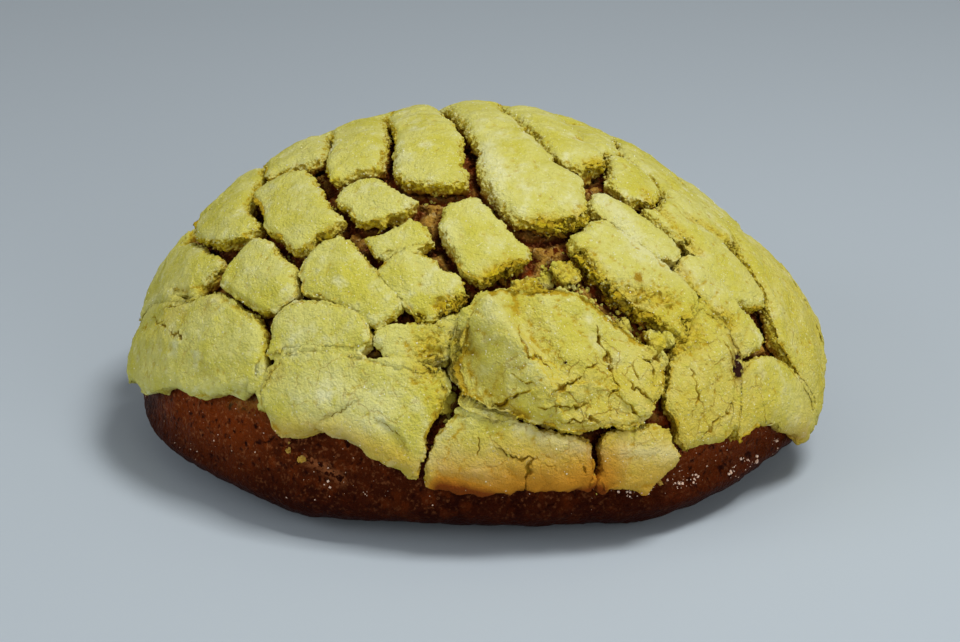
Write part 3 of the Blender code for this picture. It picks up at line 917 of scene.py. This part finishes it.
bake_plate(
    "skirt_front", wall=0.85, creased=0.7, hem=True,
    drags=((0.0, 1.3, 3.0, (10, -78), (18, -79.5), (25, -80)),),
    cracks=(
        (((3.5, -82.6), (9.3, -83.6), (13, -83)), 0.4, 0.8, 0.4),
        (((20.5, -81), (21.8, -82.6), (25.3, -85.0)), 0.35, 0.8),
        (((11.8, -83.0), (11.5, -86.1), (11.3, -91.0)), 0.45, 1.2),
        (((0.0, -80.8), (0.2, -83.5)), 0.4, 1.0),
        (((14.5, -85), (17, -84.2)), 0.3, 0.6),
    ),
)
bake_plate(
    "skirt_block", wall=0.8, creased=0.5, hem=True, drags=((0.0, 1.0, 3.0, (30, -78), (37, -76)),),
)

# ----------------------------------------------------------------------
# The right side: broad plates that crept down the flank and mostly still join, with open cracks
# where the bun's shoulder rose.
# ----------------------------------------------------------------------
bake_plate(
    "slope_right", wall=0.7, pillow=2.5, shrunk=0.97, creased=0.6,
    drags=((0.3, 1.2, 3.0, (25, -51), (28, -52)),),
    rough=(
        (1.3, 2.4, (20, -44), (24, -49), (30, -52), (36, -53)), (0.9, 2.4, (30, -49), (38, -47)),
        (0.9, 3.0, (43, -50)),
    ),
)
for node in ("strip_right", "shoulder_1", "shoulder_2", "shoulder_3"):
    bake_plate(
        node, wall=0.65, pillow=2.6, shrunk=0.98, creased=0.5,
        rough=((0.6, 1.6, (33, -18), (36, -22), (44, -30)), (0.6, 1.6, (44, -18), (55, -16))),
    )
bake_plate(
    "ledge_right", wall=0.7, pillow=2.2, shrunk=0.98, creased=0.6,
    rough=((0.7, 1.6, (38, -34), (45, -44), (46, -46)), (0.9, 2.5, (46, -46), (52, -43))),
)
bake_plate(
    "front_right", wall=0.88, creased=0.6, hem=True, drags=((1.2, -0.8, 2.2, (58.8, -63)),),
    cracks=(
        (((58, -53), (55.8, -60), (52, -66), (49, -70.4)), 0.4, 0.8),
        (((44, -58), (47, -62), (46, -67)), 0.3, 0.6, 0.3),
        (((50, -48), (54, -51), (55, -55)), 0.3, 0.6, 0.3),
    ),
    rough=((0.8, 3.0, (44, -51), (40, -56)), (0.7, 2.2, (50, -44), (58, -42))),
)
bake_plate(
    "skirt_right", wall=0.88, hem=True, drags=((-1.2, -0.8, 2.2, (61.5, -61.5)),),
    cracks=((((62, -52), (68, -56), (72, -52)), 0.3, 0.5),),
)
bake_plate("flank_right", wall=0.8, creased=0.5, hem=True)
bake_plate("end_right", wall=0.8, creased=0.5, hem=True)
for node in ("chip_1", "chip_2", "chip_3", "chip_4"):
    bake_plate(node, wall=0.7, lump=0.8, rough=((0.8, 9.0, (6, -52), (18, -50)),))

# ----------------------------------------------------------------------
# The back: the regular squares that the baker scored, hardly disturbed.
# ----------------------------------------------------------------------
LOWEST_ROW = 28.0
for node in sorted(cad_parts):
    if node.startswith("back_"):
        lowest = min(vertex.co.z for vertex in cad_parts[node].data.vertices)
        bake_plate(node, wall=0.6, pillow=3.5, shrunk=0.97, hem=lowest < LOWEST_ROW * MM)

# ----------------------------------------------------------------------
# Crumbs: bits of paste that broke off as the plates pulled apart. Some cling to the broken walls
# and some fell loose into the cracks.
# ----------------------------------------------------------------------
chance = random.Random(21)
WALL_CRUMBS, SMALLEST_LOOSE = 3600, 0.35
DROP_HEIGHT, DROP_REACH = 14.0, 22


def take_shape():
    """The points and faces of the primitive that was just added, which is then removed."""
    primitive = bpy.context.object
    mesh = primitive.data
    shape = (
        np.array([tuple(vertex.co) for vertex in mesh.vertices]),
        [tuple(polygon.vertices) for polygon in mesh.polygons],
    )
    bpy.data.objects.remove(primitive)
    bpy.data.meshes.remove(mesh)
    return shape


def strew(name, shape, places, uneven):
    """One joined mesh of many small bits: each place is where, which way it faces and its size."""
    corners, faces = shape
    points, polygons, rng = [], [], np.random.default_rng(len(places))
    for at, way, size in places:
        spin = Matrix.Rotation(rng.uniform(0, 2 * math.pi), 3, "Z")
        turn = np.array(way.to_track_quat("Z", "Y").to_matrix() @ spin)
        bit = corners * (1 + uneven * rng.uniform(-1, 1, (len(corners), 1)))
        bit = bit * rng.uniform(0.75, 1.25, 3) * size / 2 * MM
        first = len(points) * len(corners)
        points.append(bit @ turn.T + np.array(at))
        polygons += [[first + i for i in face] for face in faces]
    mesh = bpy.data.meshes.new(name)
    mesh.from_pydata(np.concatenate(points).tolist(), [], polygons)
    piece = bpy.data.objects.new(name, mesh)
    bpy.context.collection.objects.link(piece)
    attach(piece, "root")
    return piece


def touch_down(u, v):
    """Where something dropped on to the bun at a place of the flat disc comes to rest, and the way
    that spot faces."""
    above, way = shaped(u, v, DROP_HEIGHT)
    best = None
    for piece in (bun, *baked):
        hit, at, normal, _ = piece.ray_cast(above, -way, distance=DROP_REACH * MM)
        if hit and (best is None or (at - above).length < (best[0] - above).length):
            best = (at, normal)
    return best


def near_leg(line, leg, stray):
    """A place that luck gives near one leg of a line on the flat disc, or near its only point."""
    share, ends = chance.random(), (line[leg], line[min(leg + 1, len(line) - 1)])
    return [a + (b - a) * share + chance.gauss(0, stray) for a, b in zip(*ends)]


def lucky_size(smallest, spread, power=3):
    """A size that luck gives, mostly close to the smallest."""
    return smallest + spread * chance.random() ** power


def lies_low(found, height):
    """Whether a spot lies within a height in millimetres above the dome."""
    return found and bun_surface.find_nearest(found[0])[3] < height * MM


def lying(found, size, lift):
    """A bit that lies on a spot, its middle lifted off it by a share of its size."""
    return found[0] + lift * size * MM * found[1], found[1], size


def spots_of(piece, mask):
    """The middle of each face, the way it faces, how squarely it faces outwards, its size as a
    share of a voxel's face and its value of a mask."""
    polygons, loops = piece.data.polygons, piece.data.loops
    area, first = np.empty(len(polygons), np.float32), np.empty(len(polygons), np.int32)
    corner = np.empty(len(loops), np.int32)
    polygons.foreach_get("area", area)
    polygons.foreach_get("loop_start", first)
    loops.foreach_get("vertex_index", corner)
    size = area / (PASTE_VOXEL * MM) ** 2
    return *faces_of(piece), size, read_mask(piece, mask)[corner[first]]


def picked(middles, ways, odds):
    """The faces that luck picks, each as a place and a direction."""
    luck = np.random.default_rng(len(middles)).random(len(middles))
    return [(Vector(middles[i]), Vector(ways[i])) for i in np.flatnonzero(luck < odds).tolist()]


bpy.ops.mesh.primitive_ico_sphere_add(subdivisions=1, radius=1.0)
lump = take_shape()
wall_places = []
for piece in baked:
    middles, ways, facing, size, torn = spots_of(piece, "torn")
    wall_places += picked(middles, ways, size * (torn > 0.45) * (facing > -0.25) * (facing < 0.55))
places = [
    (at, way, lucky_size(0.25, 0.5, 2.2)) for at, way in chance.sample(wall_places, WALL_CRUMBS)
]

# Loose crumbs in the cracks: how many, their largest size, how far they strayed and the line.
CRACK_DEPTH = 2.8
LOOSE = (
    (90, 1.1, 1.0, (-8, -72), (-6.5, -76), (-6, -80), (-6, -85)),
    (50, 1.2, 1.6, (-6, -71), (-3, -76), (2, -78)),
    (90, 1.3, 3.0, (-11, -67), (-3, -64)),
    (110, 1.3, 2.5, (14, -46), (18, -49), (24, -52)),
    (90, 1.4, 1.6, (29, -52), (32, -53), (37, -54), (42, -54)),
    (60, 1.6, 1.6, (44, -51), (50, -44)),
    (50, 1.4, 1.0, (36, -19), (42, -22), (44, -30)),
    (50, 1.3, 1.5, (18, -40), (22, -36)),
    (50, 1.2, 1.5, (8, -44), (2, -50)),
    (40, 1.3, 1.2, (40, -58), (46, -72)),
    (40, 1.0, 1.0, (28, -78), (30, -88)),
    (60, 0.9, 1.0, (-30, -20), (-28, -36), (-24, -44)),
    (40, 0.9, 1.2, (-20, -26), (-4, -28), (6, -30)),
    (40, 0.9, 1.0, (-50, -18), (-36, -36)),
    (40, 1.2, 1.2, (26, 0), (30, -14)),
)
for count, largest, stray, *line in LOOSE:
    for _ in range(count):
        found = touch_down(*near_leg(line, chance.randrange(len(line) - 1), stray / 2))
        if lies_low(found, CRACK_DEPTH):
            size = lucky_size(SMALLEST_LOOSE, largest - SMALLEST_LOOSE, 2.5)
            places.append(lying(found, size, 0.15))
# Crumbs that stuck to the bun's side in clusters: how many, how far they spread and their place.
fallen = len(places)
for count, spread, u, v in ((8, 0.35, -43.0, -77.5), (4, 0.5, -46, -74), (6, 0.35, 45.5, -81.2)):
    for _ in range(count):
        found = touch_down(u + chance.gauss(0, spread), v + chance.gauss(0, spread))
        places.append(lying(found, chance.uniform(0.5, 1.1), 0.2))
crumbs = strew("paste_crumbs", lump, places, 0.38)
shades = np.random.default_rng(3).uniform(0.0, 0.6, len(places))
on_side = np.arange(len(places)) >= fallen
keep_mask(crumbs, "torn", np.repeat(shades * ~on_side, len(lump[0])))
keep_mask(crumbs, "toasted", np.repeat(0.4 * on_side, len(lump[0])))
# Larger fragments that still cling together where the paste broke up: how many, how far they
# strayed and the line.
FRAGMENT_SIZES = (1.6, 3.4)
BROKEN_LINES = (
    (7, 0.9, (29.5, -53), (32, -54.5)), (12, 1.4, (36, -55), (42, -54)),
    (9, 1.2, (14, -46), (18, -49)), (8, 1.0, (-7, -70), (-6.5, -76)),
    (7, 1.5, (44, -51), (50, -44)), (6, 1.2, (38, -57), (42, -60)), (5, 0.8, (24, -40), (21, -37)),
    (4, 0.8, (7, -44)),
)
places = []
for count, stray, *line in BROKEN_LINES:
    for _ in range(count):
        leg = chance.randrange(max(1, len(line) - 1))
        found, size = touch_down(*near_leg(line, leg, stray / 2)), chance.uniform(*FRAGMENT_SIZES)
        if lies_low(found, CRACK_DEPTH):
            places.append(lying(found, size, 0.1))
bpy.ops.mesh.primitive_ico_sphere_add(subdivisions=3, radius=1.0)
fragment = take_shape()
fragments = strew("paste_fragments", fragment, places, 0.03)
press(fragments, jag, 1.4)
press(fragments, crumble, 1.0)
press(fragments, grit, 0.4)
shades = np.random.default_rng(4).uniform(0.1, 0.7, len(places))
keep_mask(fragments, "torn", np.repeat(shades, len(fragment[0])))
# Painted shade in the fragments' crevices too.
keep_mask(fragments, "hollow", hollows(fragments, 3, *WIDE_CREVICE_SHADE))
for piece in (crumbs, fragments):
    piece.data.materials.append(paste)

# ----------------------------------------------------------------------
# Coarse sugar: crystals rolled into the top of the paste, thickest along the edges of the strips,
# with a few that fell on to the bun's dark side.
# ----------------------------------------------------------------------
CRYSTALS, SUGARED_HEIGHT = 1700, 34
SUGAR_ON_TOP, SUGAR_ON_SIDE = (0.80, 0.80, 0.56, 1), (0.80, 0.56, 0.42, 1)
bpy.ops.mesh.primitive_cube_add(size=1.3)
crystal = take_shape()
top_places = []
for piece in baked:
    middles, ways, facing, size, frost = spots_of(piece, "frosted")
    shoulder = ramp(facing, 0.45, 0.75) * (1 - ramp(facing, 0.90, 0.98))
    low = middles[:, 2].mean() <= SUGARED_HEIGHT * MM
    odds = (0.06 + 0.4 * shoulder + 0.8 * frost) * (0.3 if low else 1)
    top_places += picked(middles, ways, odds * size * (facing > 0.45))
places = []
for at, way in chance.sample(top_places, CRYSTALS):
    tilt = Vector([chance.gauss(0, 0.5) for _ in range(3)])
    places.append((at, (way + tilt).normalized(), lucky_size(0.16, 0.24)))
# Sugar on the bun's side: how many crystals, how far they strayed and their place or the two ends
# of their line, then a thin scatter all round.
SIDE_CRYSTALS = (
    (5, 0.7, (-46, -71)), (2, 0.6, (-66, -61)), (4, 0.6, (-28, -89)), (3, 0.8, (-38, -84)),
    (34, 0.5, (37, -86.5), (44, -82.5)), (26, 0.5, (48, -80.5), (57, -75.5)),
    (8, 0.4, (66, -68.5), (68, -66.5)), (16, 0.5, (70, -64.5), (76, -58)),
    (6, 0.5, (80, -52), (81, -48)), (14, 1.2, (50, -77), (78, -52)),
)
THIN_SCATTER, SIDE_ARCS, SIDE_DEPTH = 420, (80, 97), 1.2
on_top = len(places)
for count, stray, *line in SIDE_CRYSTALS:
    for _ in range(count):
        found = touch_down(*near_leg(line, 0, stray))
        if found:
            places.append((*found, lucky_size(0.2, 0.7)))
for _ in range(THIN_SCATTER):
    arc, bearing = chance.uniform(*SIDE_ARCS), chance.uniform(0, 2 * math.pi)
    found = touch_down(arc * math.cos(bearing), arc * math.sin(bearing))
    if lies_low(found, SIDE_DEPTH):
        places.append((*found, lucky_size(0.12, 0.25)))
sugar, tree, shader = new_material("sugar_crystals", 0.18, 0.5)
crystals = strew("sugar_crystals", crystal, places, 0.3)
keep_mask(crystals, "fallen", np.repeat(np.arange(len(places)) >= on_top, len(crystal[0])))
colour = layered(tree, SUGAR_ON_TOP, ("fallen", SUGAR_ON_SIDE))
tree.links.new(colour, shader.inputs["Base Color"])
crystals.data.materials.append(sugar)

# ----------------------------------------------------------------------
# Floor, light and camera: a pale blue-grey table under a soft lamp from above, with weaker light
# from both sides, seen from the photo's angle.
# ----------------------------------------------------------------------
FLOOR_COLOUR, SKY_COLOUR, SKY_STRENGTH = (0.47, 0.54, 0.61, 1), (1.0, 0.985, 0.95, 1), 0.20
bpy.ops.mesh.primitive_plane_add(size=6)
floor = bpy.context.object
floor.name = "floor"
pale, tree, shader = new_material("pale_floor", 0.9, 0.2)
shader.inputs["Base Color"].default_value = FLOOR_COLOUR
floor.data.materials.append(pale)

world = bpy.data.worlds.new("studio")
bpy.context.scene.world = world
world.use_nodes = True
sky = world.node_tree.nodes["Background"].inputs
sky["Color"].default_value, sky["Strength"].default_value = SKY_COLOUR, SKY_STRENGTH


def soft_light(name, place, aim, side, watts, colour):
    lamp = bpy.data.lights.new(name, "AREA")
    lamp.shape, lamp.size, lamp.energy, lamp.color = "SQUARE", side, watts, colour
    obj = bpy.data.objects.new(name, lamp)
    obj.location = place
    obj.rotation_euler = (Vector(aim) - Vector(place)).to_track_quat("-Z", "Y").to_euler()
    bpy.context.collection.objects.link(obj)


soft_light("key", (0.22, -0.12, 0.66), (0, 0, 0.03), 0.22, 3.15, (1, 0.98, 0.94))
soft_light("fill_left", (-0.66, -0.30, 0.34), (0, 0, 0.03), 0.5, 1.5, (0.96, 0.98, 1))
soft_light("fill_right", (0.40, -0.70, 0.26), (0, 0, 0.03), 0.5, 1.9, (1, 0.99, 0.97))

VIEW_DISTANCE, VIEW_ANGLE = 0.600, math.radians(22.5)
PIXELS_PER_METRE, PICTURE_WIDTH, SENSOR_WIDTH = 4870, 960, 36
aim = Vector((0.0006, 0, 0.0222))
camera = bpy.data.objects.new("camera", bpy.data.cameras.new("camera"))
bpy.context.collection.objects.link(camera)
camera.location = aim - VIEW_DISTANCE * Vector((0, math.cos(VIEW_ANGLE), -math.sin(VIEW_ANGLE)))
camera.rotation_euler = (math.pi / 2 - VIEW_ANGLE, 0, 0)
camera.data.sensor_width = SENSOR_WIDTH
camera.data.lens = PIXELS_PER_METRE * VIEW_DISTANCE / PICTURE_WIDTH * SENSOR_WIDTH
camera.data.clip_start = 0.01
bpy.context.scene.camera = camera
bpy.context.scene.view_settings.view_transform = "Standard"
